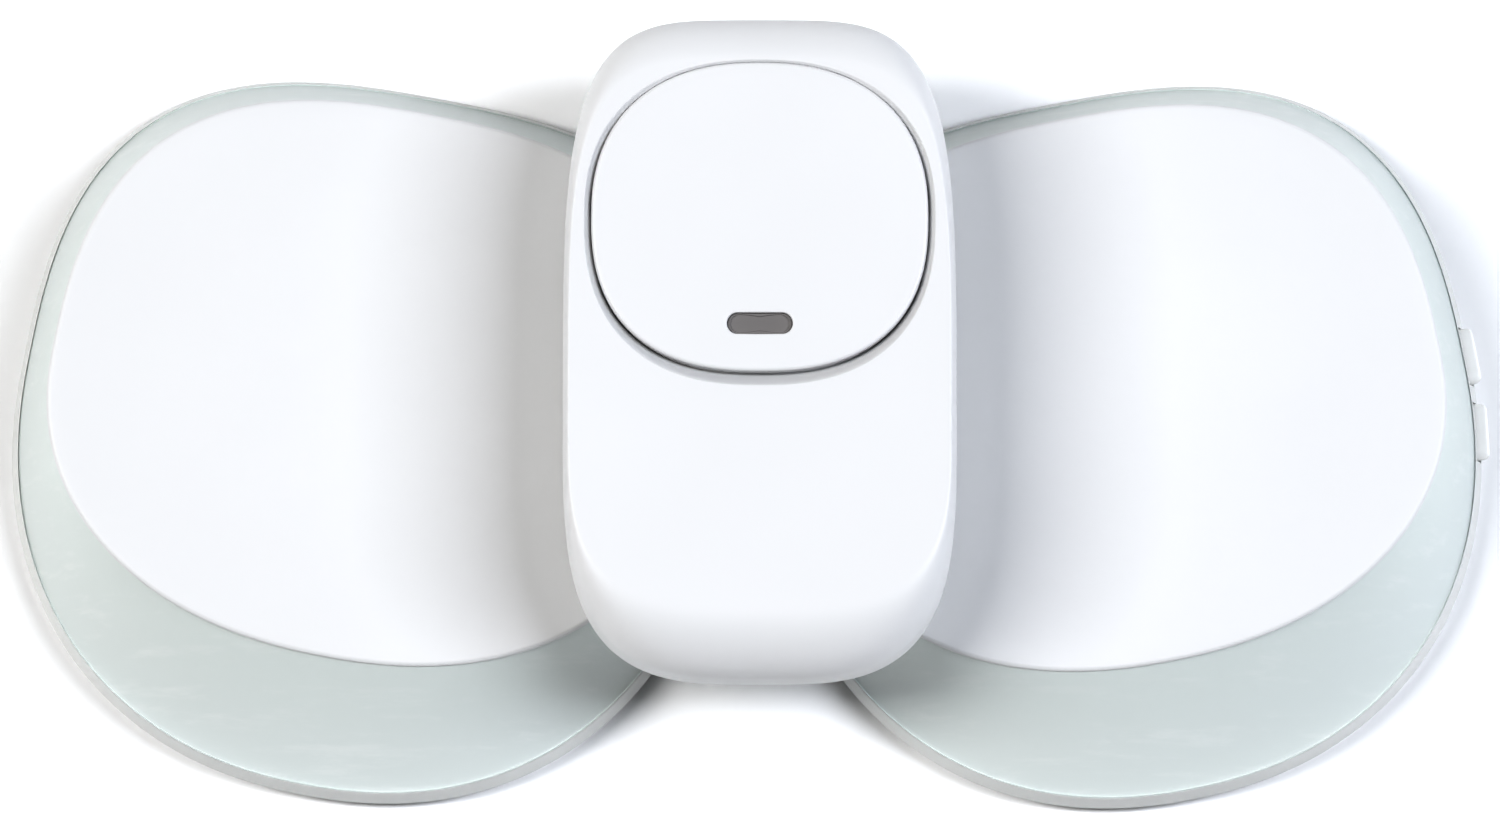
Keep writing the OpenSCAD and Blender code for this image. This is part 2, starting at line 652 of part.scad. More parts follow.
// Three bayonet lugs, each a sector of a ring
module lugs(grow, widen, z0, z1, turn) for (i = [0:2]) rotate(turn + 120 * i) intersection() {
    rod(lug_r + grow, z0, z1);
    block(0, lug_r + 2, -lug_half_w - widen, lug_half_w + widen, z0, z1);
}
module coin_cover() color("gainsboro") translate([0, coin_y, 0]) difference() {
    union() {
        rod(coin_cover_r, back_z, back_z + back_floor);
        rod(coin_cover_r - 0.6, back_z + back_floor - eps, lug_z + lug_t);
        lugs(0, 0, lug_z, lug_z + lug_t, 0);
    }
    block(-5.5, 5.5, -0.9, 0.9, back_z - 1, back_z + 1.1);
}
module coin_cell() color("silver") translate([0, coin_y, 0]) {
    rod(coin_r, coin_z, coin_z + coin_t - 0.5);
    rod(coin_r - 1.2, coin_z + coin_t - 0.5 - eps, coin_z + coin_t);
}
module cell_holder() color("dimgray") translate([0, coin_y, 0]) difference() {
    rod(coin_r + 1.6, coin_z, push_board_z - 0.1);
    rod(coin_r + 0.3, coin_z - 1, coin_z + coin_t + 0.15);
    rod(coin_r - 3, coin_z, push_board_z + 1);
    block(-4, 4, 4, 20, coin_z - 1, push_board_z + 1);
}
module push_seal() color("gray") difference() {
    slab(push_line(seal_in), split_z - seal_h, split_z);
    slab(push_line(seal_in + seal_w), split_z - 1, split_z + 1);
}
module push_board() color("seagreen") difference() {
    block(-16.5, 16.5, push_low_y + 4, push_high_y - 5, push_board_z, push_board_z + push_board_t);
    at_each(push_pin_places) rod(0.9, push_board_z - 1, push_board_z + push_board_t + 1);
}
module push_switch() translate([0, cap_y, push_board_z + push_board_t]) {
    color("dimgray") translate([-3, -3, 0]) cube([6, 6, switch_h]);
    color("black") translate([0, 0, switch_h - eps]) cylinder(r = 1.7, h = plunger_h + eps);
}
module push_led() color("lightyellow") translate([0, cap_y - window_drop, push_board_z + push_board_t])
    translate([-1.6, -0.8, 0]) cube([3.2, 1.6, 1.2]);
module push_parts() translate([0, 0, push_board_z + push_board_t]) {
    color("dimgray") block(-12, -6, 12, 18, 0, 1);
    color("dimgray") block(7, 11, 13, 17, 0, 1);
    color("silver") block(8, 12, 4, 5.6, 0, 1.2);
    color("tan") for (i = [0:3]) block(-11 + 3 * i, -9.4 + 3 * i, 4, 4.8, 0, 0.5);
}
module push_antenna() color("goldenrod") translate([0, push_low_y + 8.5, push_board_z + push_board_t]) {
    for (s = [-1, 1]) translate([s * 9, 0, 0]) cylinder(r = 0.4, h = 1.8);
    translate([-9.4, 0, 1.8]) rotate([0, 90, 0]) cylinder(r = 0.4, h = 18.8);
}
module push_screws() color("silver") at_each(push_post_places) {
    rod(push_head_r, push_head_z - 1.2, push_head_z);
    rod(push_shank_r, push_head_z - eps, split_z + 4);
}
module push_shape(d, top_z, low_z) {
    steps = 6;
    loft(concat([[push_edge(0, d), low_z]],
                [for (k = [0:steps]) let (t = 90 * k / steps)
                 [push_edge(1 - cos(t), d), top_z - round_h * (1 - sin(t))]]));
}
module push_front() color("white") difference() {
    union() {
        difference() {
            push_shape(0, push_h, split_z);
            push_shape(push_wall, push_h - push_wall, split_z - 1);
        }
        intersection() {
            push_shape(0.3, push_h - 0.3, split_z);
            translate([0, cap_y, 0]) slab(well_line(-collar_t), well_z - well_t, push_h);
        }
        intersection() {
            push_shape(0.3, push_h - 0.3, split_z);
            at_each(push_post_places) rod(push_post_r, split_z, push_h);
        }
    }
    at_each(push_post_places) rod(push_pilot_r, split_z - 1, split_z + 6);
    translate([0, cap_y, 0]) {
        slab(well_line(), well_z, push_h + 1);
        rod(cap_boss_r + fit, well_z - well_t - 1, well_z + 1);
        translate([0, -window_drop, 0]) pill(window_l - 2, window_w, well_z - well_t - 1, well_z + 1);
    }
}
module push_cap() color("white") difference() {
    union() {
        loft([[cap_line(), push_h - cap_t], [cap_line(), push_h - 0.6],
              [cap_line(0.2), push_h - 0.2], [cap_line(0.7), push_h]]);
        rod(cap_boss_r, cap_boss_z, push_h - cap_t + eps);
    }
    translate([0, -window_drop, 0]) pill(window_l, window_w, push_h - cap_t - 1, push_h + 1);
}
module cap_lens() color([0.5, 0.48, 0.46]) translate([0, -window_drop, 0])
    pill(window_l - 0.1, window_w - 0.1, push_h - cap_t, push_h - 0.5);

// ---- the set
on_left() front_cover();  // left_front_cover
on_left() light_baffle();  // left_light_baffle
on_left() halo_diffuser();  // left_halo_diffuser
on_left() led_board();  // left_led_board
on_left() leds();  // left_leds
on_left() rear_housing();  // left_rear_housing
on_left() battery_door();  // left_battery_door
on_left() cells();  // left_cells
on_left() cell_contacts();  // left_cell_contacts
on_left() main_board();  // left_main_board
on_left() board_parts();  // left_board_parts
on_left() antenna();  // left_antenna
on_left() speaker_basket();  // left_speaker_basket
on_left() speaker_cone();  // left_speaker_cone
on_left() speaker_magnet();  // left_speaker_magnet
on_left() key_switches();  // left_key_switches
on_left() volume_key();  // left_volume_key
on_left() tune_key();  // left_tune_key
on_left() screws();  // left_screws
on_left() feet();  // left_feet
on_right() front_cover();  // right_front_cover
on_right() light_baffle();  // right_light_baffle
on_right() halo_diffuser();  // right_halo_diffuser
on_right() led_board();  // right_led_board
on_right() leds();  // right_leds
on_right() rear_housing();  // right_rear_housing
on_right() battery_door();  // right_battery_door
on_right() cells();  // right_cells
on_right() cell_contacts();  // right_cell_contacts
on_right() main_board();  // right_main_board
on_right() board_parts();  // right_board_parts
on_right() antenna();  // right_antenna
on_right() speaker_basket();  // right_speaker_basket
on_right() speaker_cone();  // right_speaker_cone
on_right() speaker_magnet();  // right_speaker_magnet
on_right() key_switches();  // right_key_switches
on_right() volume_key();  // right_volume_key
on_right() tune_key();  // right_tune_key
on_right() screws();  // right_screws
on_right() feet();  // right_feet
on_push() push_bracket();
on_push() bracket_pads();
on_push() push_back();
on_push() push_front();
on_cap() push_cap();
on_cap() cap_lens();
on_push() push_board();
on_push() push_switch();
on_push() push_led();
on_push() coin_cell();
on_push() cell_holder();
on_push() coin_cover();
on_push() push_seal();
on_push() push_screws();
on_push() push_parts();
on_push() push_antenna();
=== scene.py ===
"""Looks of a wireless doorbell set: two halo chimes, with a bell push lying across them.

Lengths are written in millimetres in each unit's own frame, as in the part's source, and are
carried into the set's frame, in metres, by the Place of that unit.
"""

import json
import math

import bpy
import numpy as np
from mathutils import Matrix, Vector


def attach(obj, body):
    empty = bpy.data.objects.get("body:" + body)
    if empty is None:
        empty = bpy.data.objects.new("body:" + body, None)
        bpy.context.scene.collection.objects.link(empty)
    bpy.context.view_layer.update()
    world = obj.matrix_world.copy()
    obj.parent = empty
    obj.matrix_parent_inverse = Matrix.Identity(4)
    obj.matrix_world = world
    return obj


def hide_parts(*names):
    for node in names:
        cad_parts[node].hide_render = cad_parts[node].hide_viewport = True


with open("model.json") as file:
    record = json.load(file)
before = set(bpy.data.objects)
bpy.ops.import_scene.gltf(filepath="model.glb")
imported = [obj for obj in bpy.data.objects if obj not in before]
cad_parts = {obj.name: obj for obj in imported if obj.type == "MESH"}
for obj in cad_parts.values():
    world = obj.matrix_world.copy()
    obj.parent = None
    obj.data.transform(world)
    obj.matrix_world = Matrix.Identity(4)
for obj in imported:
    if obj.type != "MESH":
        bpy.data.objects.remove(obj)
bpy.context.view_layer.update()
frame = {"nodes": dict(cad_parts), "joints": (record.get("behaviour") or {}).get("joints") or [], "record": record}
MM = 0.001
RECORD = frame["record"]
MOUNTS = {mount["name"]: mount for mount in RECORD["mounts"]}
JOINTS = {joint["name"]: joint for joint in frame["joints"]}

# ---- sizes, in millimetres. An outline is half width, top, bottom, top curve, bottom curve.
BASE = (44.5, 42.3, 46.5, 2.8, 2.2)
FACE = (40.0, 37.5, 31.2, 2.67, 2.2)
PUSH = (24.1, 51.0, 30.4, 4.3, 3.3)
CAP = (20.6, 19.15, 19.0, 2.35, 2.45)
WELL = (21.5, 19.45, 20.8, 2.35, 2.45)
FOOT_TOP = 0.8
FLOOR_TOP = 2.4
SEAM_Z = 6.0
COVER_Z = 19.2
FACE_Z = 21.0
FACE_EDGE = 0.55
RIM_DRAW = 0.8
UNDER_IN = 1.6
UNDER_UP = 1.8
HALO_WALL = 1.8
HALO_FLARE = 1.35
HALO_TOP = 20.1
KEY_SPOTS = {"volume": (44.4996, 1.0, 0.0755), "tune": (44.0030, -8.6, -7.2957)}
KEY_SIZE = (6.9, 2.6)
KEY_MID_Z = 4.1
KEY_PROUD = 0.9
PUSH_SPLIT = 6.2
PUSH_TOP = 20.0
ROUND_HIGH = 8.0
ROUND_IN = (0.8, 6.0, 8.0)
PUSH_WALL = 1.8
CAP_Y = 25.5
CAP_LOW = 18.1
WELL_Z = 17.2
WELL_FLOOR = 1.2
SILL_Z = 18.5
SILL_DIP = 1.0
LIP_CURVE = 1.25
WINDOW_Y = CAP_Y - 13.1
WINDOW = (8.0, 2.6)
LENS_TOP = 19.5
FOOT_SPOT = (31.0, -24.0)
BRACKET_MID = 8.0
BRACKET_TOP = 2.4
BRACKET_IN = 3.0
BACK_LOW = 2.7
BACK_EDGE = 4.1
BACK_IN = 0.4
DOOR_HALF = 24.35
KEY_SLACK = 0.25
KEY_LOW = KEY_MID_Z - KEY_SIZE[1] / 2 - KEY_SLACK
KEY_HIGH = KEY_MID_Z + KEY_SIZE[1] / 2 + KEY_SLACK
KEY_BACK = -3.1
KEY_SOFT = 0.35
KEY_CROWN = 0.7
HALO_LIP = 0.35
COVER_LIP = 14.0
CAP_SOFT = 0.45
SLOT_SOFT = 0.2

# A wall piece is BAND thick and stands SKIN outside the CAD wall that it covers.
BAND = 0.6
SKIN = 0.02

# Points round a chime or the cap, the push, a slot with round ends, and a key.
AROUND = 480
AROUND_PUSH = 600
AROUND_SLOT = 160
AROUND_KEY = 96

# Edges that bend by more than this many degrees are shaded sharp.
SHARP = 40.0


class Place:
    """Where a unit lies: its origin in millimetres and its turn about the upright axis."""

    def __init__(self, x, y, z=0.0, turn=0.0):
        self.origin = np.array([x, y, z])
        self.turn = turn

    def carry(self, points):
        """Turn points about the upright axis, move them to the origin, and give them in metres."""
        c = math.cos(self.turn)
        s = math.sin(self.turn)
        spin = np.array([[c, -s, 0], [s, c, 0], [0, 0, 1]])
        return (np.asarray(points, float) @ spin.T + self.origin) * MM


def chime_place(side):
    """The battery door slides down the chime, so its axis gives the turn; a foot gives the origin."""
    axis = JOINTS[side + "_door_slide"]["axis"]
    turn = math.atan2(axis[0], -axis[1])
    foot = np.array(MOUNTS[side + "_rest"]["pos_m"]) / MM
    x = foot[0] - FOOT_SPOT[0] * math.cos(turn) + FOOT_SPOT[1] * math.sin(turn)
    y = foot[1] - FOOT_SPOT[0] * math.sin(turn) - FOOT_SPOT[1] * math.cos(turn)
    return Place(x, y, 0.0, turn)


back = np.array(MOUNTS["bracket_back"]["pos_m"]) / MM
PUSH_PLACE = Place(back[0], back[1] - BRACKET_MID, back[2])
CHIMES = {side: chime_place(side) for side in ("left", "right")}


# ---- outlines and surfaces
def outline(size, t, inset=0.0):
    """Superellipse with its own height and curve above and below: x = a*cos^(2/k), y = b*sin^(2/k)."""
    a, top, bottom, top_curve, bottom_curve = size
    c = np.cos(t)
    s = np.sin(t)
    k = np.where(s >= 0, top_curve, bottom_curve)
    b = np.where(s >= 0, top - inset, bottom - inset)
    x = (a - inset) * np.sign(c) * np.abs(c) ** (2 / k)
    y = b * np.sign(s) * np.abs(s) ** (2 / k)
    return np.stack([x, y], axis=1)


def even_angles(size, count):
    """Parameter values that space points evenly along an outline, read off its running length."""
    fine = np.linspace(0, 2 * np.pi, 40001)
    step = np.diff(outline(size, fine), axis=0)
    length = np.concatenate([[0], np.cumsum(np.hypot(step[:, 0], step[:, 1]))])
    return np.interp(np.linspace(0, length[-1], count, endpoint=False), length, fine)


def ring(xy, z):
    """A flat outline lifted to a height, which may change along it."""
    return np.column_stack([xy, np.broadcast_to(z, len(xy))])


def fullness(size, x, y, side_in, top_in, bottom_in):
    """Superellipse sum (|x|/a)^k + (|y|/b)^k of an outline drawn in at its sides, top and bottom: 1
    on the outline, less inside it."""
    a, top, bottom, top_curve, bottom_curve = size
    k = np.where(y >= 0, top_curve, bottom_curve)
    b = np.where(y >= 0, top - top_in, bottom - bottom_in)
    return (np.abs(x) / (a - side_in)) ** k + (np.abs(y) / b) ** k


def reach(size, seat, heading, centre=(0.0, 0.0), inset=0.0):
    """Distance from a seat inside an outline to that outline along each heading, by halving."""
    near = np.zeros_like(heading)
    far = np.full_like(heading, 200.0)
    for _ in range(48):
        mid = (near + far) / 2
        x = seat[0] - centre[0] + mid * np.cos(heading)
        y = seat[1] - centre[1] + mid * np.sin(heading)
        inside = fullness(size, x, y, inset, inset, inset) < 1
        near = np.where(inside, mid, near)
        far = np.where(inside, far, mid)
    return (near + far) / 2


def rays(seat, heading):
    """Gives the function that places a ring at a distance from a seat along each heading."""
    c = np.cos(heading)
    s = np.sin(heading)

    def at(distance, z):
        return ring(np.column_stack([seat[0] + distance * c, seat[1] + distance * s]), z)

    return at


def stack_faces(rows, count, first_pole, last_pole, closed):
    """Quads between neighbouring rings, fans at the poles, or a last row that joins the first."""
    i = np.arange(count)
    j = (i + 1) % count
    pairs = [(k, k + 1) for k in range(rows - 1)]
    if closed:
        pairs.append((rows - 1, 0))
    faces = []
    for low, high in pairs:
        a = low * count
        b = high * count
        quad = np.column_stack([a + i, a + j, b + j, b + i])
        faces += quad.tolist()
    if first_pole is not None:
        faces += np.column_stack([j, i, np.full(count, first_pole)]).tolist()
    if last_pole is not None:
        top = (rows - 1) * count
        faces += np.column_stack([top + i, top + j, np.full(count, last_pole)]).tolist()
    return faces


def skin(name, rings, place, poles=(False, False), closed=False):
    """Closed surface through a stack of rings, with its poles at the mean of the end rings."""
    rings = np.asarray(rings, float)
    rows, count = rings.shape[:2]
    points = rings.reshape(-1, 3)
    ends = []
    for wanted, end in zip(poles, (rings[0], rings[-1])):
        ends.append(len(points) if wanted else None)
        if wanted:
            points = np.vstack([points, end.mean(axis=0)])
    faces = stack_faces(rows, count, ends[0], ends[1], closed)
    return solid(name, place.carry(points), faces)


def volume_of(points, faces):
    """Signed volume from the sum of each face's fan of triangles with the origin."""
    total = 0.0
    for corners in (3, 4):
        group = np.array([f for f in faces if len(f) == corners])
        if len(group):
            p = points[group]
            for k in range(1, corners - 1):
                total += np.einsum("ij,ij->i", p[:, 0], np.cross(p[:, k], p[:, k + 1])).sum()
    return total / 6


def solid(name, points, faces):
    """A mesh object at the origin, its faces turned outward, smooth but for edges past SHARP."""
    if volume_of(points, faces) < 0:
        faces = [f[::-1] for f in faces]
    mesh = bpy.data.meshes.new(name)
    mesh.from_pydata(points.tolist(), [], faces)
    mesh.polygons.foreach_set("use_smooth", np.ones(len(mesh.polygons), bool))
    mesh.set_sharp_from_angle(angle=math.radians(SHARP))
    mesh.update()
    piece = bpy.data.objects.new(name, mesh)
    bpy.context.scene.collection.objects.link(piece)
    return piece


def strip(sections, round_trip):
    """Closed wall swept through cross-sections (count, corners, 3), as one mesh of quads. A strip
    that doesn't run all the way round gets a fan at each end, to the mean of its end section."""
    sections = np.asarray(sections, float)
    count, corners = sections.shape[:2]
    i = np.arange(corners)
    j = (i + 1) % corners
    stops = count if round_trip else count - 1
    faces = []
    for k in range(stops):
        n = (k + 1) % count
        quad = np.column_stack([k * corners + i, k * corners + j, n * corners + j, n * corners + i])
        faces += quad.tolist()
    points = sections.reshape(-1, 3)
    if not round_trip:
        last = (count - 1) * corners
        hub = len(points)
        points = np.vstack([points, sections[0].mean(axis=0), sections[-1].mean(axis=0)])
        faces += np.column_stack([j, i, np.full(corners, hub)]).tolist()
        faces += np.column_stack([last + i, last + j, np.full(corners, hub + 1)]).tolist()
    return points, faces


def walls(name, strips, place):
    """Several strips as one piece."""
    points = []
    faces = []
    start = 0
    for some_points, some_faces in strips:
        points.append(some_points)
        faces += [[start + corner for corner in f] for f in some_faces]
        start += len(some_points)
    return solid(name, place.carry(np.vstack(points)), faces)


def sections_along(size, t, heights, inset, thick):
    """Cross-sections of a wall that follows an outline: up its outside, drawn in by inset(z), and
    down its inside, thick further in."""
    outer = [ring(outline(size, t, inset(z)), z) for z in heights]
    inner = [ring(outline(size, t, inset(z) + thick), z) for z in heights[::-1]]
    return np.stack(outer + inner, axis=1)


def fit_out(piece, body, nodes, material):
    """Give a piece its body, the CAD nodes that it stands for and its finish."""
    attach(piece, body)
    if nodes:
        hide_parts(*nodes)
    piece.data.materials.append(material)
    return piece


# ---- materials, all on Object coordinates in metres
def node(tree, kind, **settings):
    """Add a shader node; settings name its properties, or its inputs when they start with in_."""
    made = tree.nodes.new(kind)
    for key, value in settings.items():
        if key.startswith("in_"):
            made.inputs[key[3:].replace("_", " ")].default_value = value
        else:
            setattr(made, key, value)
    return made


def link(tree, source, target):
    tree.links.new(source, target)


def moulded_grain():
    """Node group: fine spark texture and slow mottling of moulded plastic."""
    tree = bpy.data.node_groups.new("moulded grain", "ShaderNodeTree")
    face = tree.interface
    for name in ("Grain size", "Depth", "Distance"):
        face.new_socket(name, in_out="INPUT", socket_type="NodeSocketFloat")
    face.new_socket("Normal", in_out="OUTPUT", socket_type="NodeSocketVector")
    face.new_socket("Mottle", in_out="OUTPUT", socket_type="NodeSocketFloat")
    given = tree.nodes.new("NodeGroupInput")
    out = tree.nodes.new("NodeGroupOutput")
    where = node(tree, "ShaderNodeTexCoord")
    fine = node(tree, "ShaderNodeTexNoise", in_Detail=3.0, in_Roughness=0.6)
    link(tree, where.outputs["Object"], fine.inputs["Vector"])
    link(tree, given.outputs["Grain size"], fine.inputs["Scale"])
    bump = node(tree, "ShaderNodeBump")
    link(tree, fine.outputs["Fac"], bump.inputs["Height"])
    link(tree, given.outputs["Depth"], bump.inputs["Strength"])
    link(tree, given.outputs["Distance"], bump.inputs["Distance"])
    slow = node(tree, "ShaderNodeTexNoise", in_Scale=38.0, in_Detail=2.0)
    link(tree, where.outputs["Object"], slow.inputs["Vector"])
    link(tree, bump.outputs["Normal"], out.inputs["Normal"])
    link(tree, slow.outputs["Fac"], out.inputs["Mottle"])
    return tree


GRAIN = moulded_grain()


def blank(name, roughness, **sockets):
    """A material with its Principled shader, constants set on the shader's own sockets."""
    material = bpy.data.materials.new(name)
    material.use_nodes = True
    tree = material.node_tree
    shader = tree.nodes["Principled BSDF"]
    shader.inputs["Roughness"].default_value = roughness
    for key, value in sockets.items():
        shader.inputs[key.replace("_", " ")].default_value = value
    return material, tree, shader


def object_space(tree):
    """Object coordinates, in metres, as every finish uses them."""
    return node(tree, "ShaderNodeTexCoord").outputs["Object"]


def grained(tree, size, depth, distance):
    """The moulded grain group, with its own grain size, depth and distance."""
    group = node(tree, "ShaderNodeGroup", node_tree=GRAIN)
    group.inputs["Grain size"].default_value = size
    group.inputs["Depth"].default_value = depth
    group.inputs["Distance"].default_value = distance
    return group


def spread(tree, mask, low, high):
    """A mask from nought to one, stretched to run from low to high."""
    span = node(tree, "ShaderNodeMapRange")
    span.inputs["To Min"].default_value = low
    span.inputs["To Max"].default_value = high
    link(tree, mask, span.inputs["Value"])
    return span.outputs["Result"]


def pressed(tree, height, shader, strength, distance):
    """A height pattern pressed into the shader's normal."""
    bump = node(tree, "ShaderNodeBump", in_Strength=strength, in_Distance=distance)
    link(tree, height, bump.inputs["Height"])
    link(tree, bump.outputs["Normal"], shader.inputs["Normal"])


def between(tree, mask, low, high):
    """Colour ramp from one colour to another, driven by a mask."""
    ramp = node(tree, "ShaderNodeMix", data_type="RGBA")
    ramp.inputs[6].default_value = (*low, 1)
    ramp.inputs[7].default_value = (*high, 1)
    link(tree, mask, ramp.inputs[0])
    return ramp.outputs[2]


def plastic(name, low, high, roughness, depth=0.12):
    """Moulded plastic: colour and roughness drift with the mottle, and fine grain in the normal."""
    material, tree, shader = blank(name, roughness)
    group = grained(tree, 5200.0, depth, 0.00004)
    mottle = group.outputs["Mottle"]
    link(tree, between(tree, mottle, low, high), shader.inputs["Base Color"])
    gloss = spread(tree, mottle, roughness - 0.06, roughness + 0.06)
    link(tree, gloss, shader.inputs["Roughness"])
    link(tree, group.outputs["Normal"], shader.inputs["Normal"])
    return material


def frosted_halo(name):
    """Frosted flare: green-grey, with painted light that makes it slightly paler up under the face, and faint pale
    wisps.
    """
    material, tree, shader = blank(name, 0.38, IOR=1.49)
    where = object_space(tree)
    split = node(tree, "ShaderNodeSeparateXYZ")
    link(tree, where, split.inputs["Vector"])
    # Painted light: the colour runs with height from the seam up to under the face, standing in for light carried
    # through the frosted plastic; the mottle adds random tone on top.
    height = node(tree, "ShaderNodeMapRange", interpolation_type="SMOOTHSTEP")
    height.inputs["From Min"].default_value = SEAM_Z * MM
    height.inputs["From Max"].default_value = (COVER_Z - 1.0) * MM
    link(tree, split.outputs["Z"], height.inputs["Value"])
    group = grained(tree, 2600.0, 0.10, 0.00005)
    drift = node(tree, "ShaderNodeMath", operation="MULTIPLY_ADD")
    drift.inputs[1].default_value = 0.25
    drift.inputs[2].default_value = -0.12
    link(tree, group.outputs["Mottle"], drift.inputs[0])
    total = node(tree, "ShaderNodeMath", operation="ADD", use_clamp=True)
    link(tree, height.outputs["Result"], total.inputs[0])
    link(tree, drift.outputs["Value"], total.inputs[1])
    pull = node(tree, "ShaderNodeMapping", vector_type="POINT", in_Scale=(0.5, 3.2, 1.0))
    link(tree, where, pull.inputs["Vector"])
    wisps = node(tree, "ShaderNodeTexNoise", in_Scale=150.0, in_Detail=5.0, in_Roughness=0.62)
    link(tree, pull.outputs["Vector"], wisps.inputs["Vector"])
    pale = node(tree, "ShaderNodeMapRange", interpolation_type="SMOOTHSTEP")
    pale.inputs["From Min"].default_value = 0.50
    pale.inputs["From Max"].default_value = 0.74
    pale.inputs["To Max"].default_value = 0.55
    link(tree, wisps.outputs["Fac"], pale.inputs["Value"])
    body = between(tree, total.outputs["Value"], (0.695, 0.73, 0.715), (0.705, 0.745, 0.725))
    veil = node(tree, "ShaderNodeMix", data_type="RGBA")
    veil.inputs[7].default_value = (0.76, 0.785, 0.77, 1)
    link(tree, body, veil.inputs[6])
    link(tree, pale.outputs["Result"], veil.inputs[0])
    link(tree, veil.outputs[2], shader.inputs["Base Color"])
    link(tree, group.outputs["Normal"], shader.inputs["Normal"])
    return material


def banded(name, stripe, ground, roughness, pitch):
    """Printed stripes across a part: the crests of a wave that runs along X."""
    material, tree, shader = blank(name, roughness)
    wave = node(tree, "ShaderNodeTexWave", in_Scale=pitch, in_Distortion=0.0, in_Detail=0.0)
    link(tree, object_space(tree), wave.inputs["Vector"])
    edge = node(tree, "ShaderNodeMath", operation="GREATER_THAN")
    edge.inputs[1].default_value = 0.86
    link(tree, wave.outputs["Fac"], edge.inputs[0])
    link(tree, between(tree, edge.outputs["Value"], ground, stripe), shader.inputs["Base Color"])
    group = grained(tree, 1800.0, 0.06, 0.00003)
    link(tree, group.outputs["Normal"], shader.inputs["Normal"])
    return material


def board_green(name):
    """Circuit board: solder mask with slightly raised paler tracks between staggered blocks."""
    material, tree, shader = blank(name, 0.32, Coat_Weight=0.3)
    tracks = node(tree, "ShaderNodeTexBrick", in_Scale=300.0, in_Mortar_Size=0.03)
    link(tree, object_space(tree), tracks.inputs["Vector"])
    green = between(tree, tracks.outputs["Fac"], (0.018, 0.13, 0.06), (0.05, 0.26, 0.13))
    link(tree, green, shader.inputs["Base Color"])
    pressed(tree, tracks.outputs["Fac"], shader, 0.4, 0.00004)
    return material


def brushed(name, low, high, roughness, across):
    """Drawn or brushed metal: noise stretched along one axis drives colour, roughness and bump."""
    material, tree, shader = blank(name, roughness, Metallic=1.0)
    pull = node(tree, "ShaderNodeMapping", vector_type="POINT", in_Scale=(1.0, across, across))
    link(tree, object_space(tree), pull.inputs["Vector"])
    lines = node(tree, "ShaderNodeTexNoise", in_Scale=420.0, in_Detail=3.0)
    link(tree, pull.outputs["Vector"], lines.inputs["Vector"])
    link(tree, between(tree, lines.outputs["Fac"], low, high), shader.inputs["Base Color"])
    gloss = spread(tree, lines.outputs["Fac"], roughness - 0.1, roughness + 0.12)
    link(tree, gloss, shader.inputs["Roughness"])
    pressed(tree, lines.outputs["Fac"], shader, 0.25, 0.00003)
    return material


def celled(name, low, high, size):
    """Foam or fibre: small cells pressed into the surface, with painted shade darkening their hollows."""
    material, tree, shader = blank(name, 0.85)
    cells = node(tree, "ShaderNodeTexVoronoi", in_Scale=size)
    link(tree, object_space(tree), cells.inputs["Vector"])
    # Painted shade: the low colour goes where the cells are hollow.
    link(tree, between(tree, cells.outputs["Distance"], low, high), shader.inputs["Base Color"])
    pressed(tree, cells.outputs["Distance"], shader, 0.6, 0.0002)
    return material


WHITE_SHELL = plastic("white shell", (0.73, 0.73, 0.73), (0.75, 0.75, 0.75), 0.46)
REAR_SHELL = plastic("rear shell", (0.70, 0.705, 0.69), (0.74, 0.745, 0.73), 0.42)
# Partly painted light: the keys' own white is made lighter than the shell's, standing in for the light that the
# keys catch.
KEY_WHITE_WITH_PAINTED_LIGHT = plastic("key white with painted light", (0.93, 0.925, 0.90), (0.95, 0.945, 0.92), 0.38)
HALO_FROST = frosted_halo("halo frost")
WINDOW_GREY = plastic("window grey", (0.27, 0.26, 0.255), (0.31, 0.295, 0.29), 0.25, depth=0.03)


# ---- chimes
def quarter(count):
    """Angles from nought to a right angle."""
    return np.linspace(0, np.pi / 2, count)


def front_face(side, place):
    """Flat face: its outline drawn in along a quarter round at the edge, then to the middle."""
    t = even_angles(FACE, AROUND)
    rings = [ring(outline(FACE, t, inset), COVER_Z) for inset in (COVER_LIP, 0.0)]
    for a in quarter(9):
        inset = FACE_EDGE * (1 - math.cos(a))
        rings.append(ring(outline(FACE, t, inset), FACE_Z - FACE_EDGE * (1 - math.sin(a))))
    for share in (0.96, 0.9, 0.75, 0.5, 0.25, 0.08):
        rings.append(ring(outline(FACE, t, FACE_EDGE) * share, FACE_Z))
    piece = skin(side + "_front_face", rings, place, poles=(True, True))
    return fit_out(piece, side + "_chime", [side + "_front_cover"], WHITE_SHELL)


def halo_flare(side, place):
    """Frosted flare: outlines blend from face to base while the height falls as (1-u)^flare."""
    t = even_angles(BASE, AROUND)
    top = outline(FACE, t)
    foot = outline(BASE, t, RIM_DRAW + 0.05)
    rise = HALO_TOP - SEAM_Z
    outer = []
    for u in np.concatenate([np.linspace(0, 0.94, 30), np.linspace(0.95, 0.985, 5)]):
        outer.append(ring(top * (1 - u) + foot * u, SEAM_Z + rise * (1 - u) ** HALO_FLARE))
    last = outer[-1]
    for a in quarter(6)[1:]:
        share = math.sin(a)
        edge = last[:, :2] + (foot - last[:, :2]) * (0.55 + 0.45 * share)
        outer.append(ring(edge, SEAM_Z + HALO_LIP * (1 - share) + 0.02))
    top_in = outline(FACE, t, HALO_WALL)
    foot_in = outline(BASE, t, RIM_DRAW + HALO_WALL)
    inner = []
    for u in np.linspace(1, 0, 16):
        inner.append(ring(top_in * (1 - u) + foot_in * u, SEAM_Z + rise * (1 - u) ** HALO_FLARE + 0.02))
    piece = skin(side + "_halo_flare", outer + inner, place, closed=True)
    return fit_out(piece, side + "_chime", [side + "_halo_diffuser"], HALO_FROST)


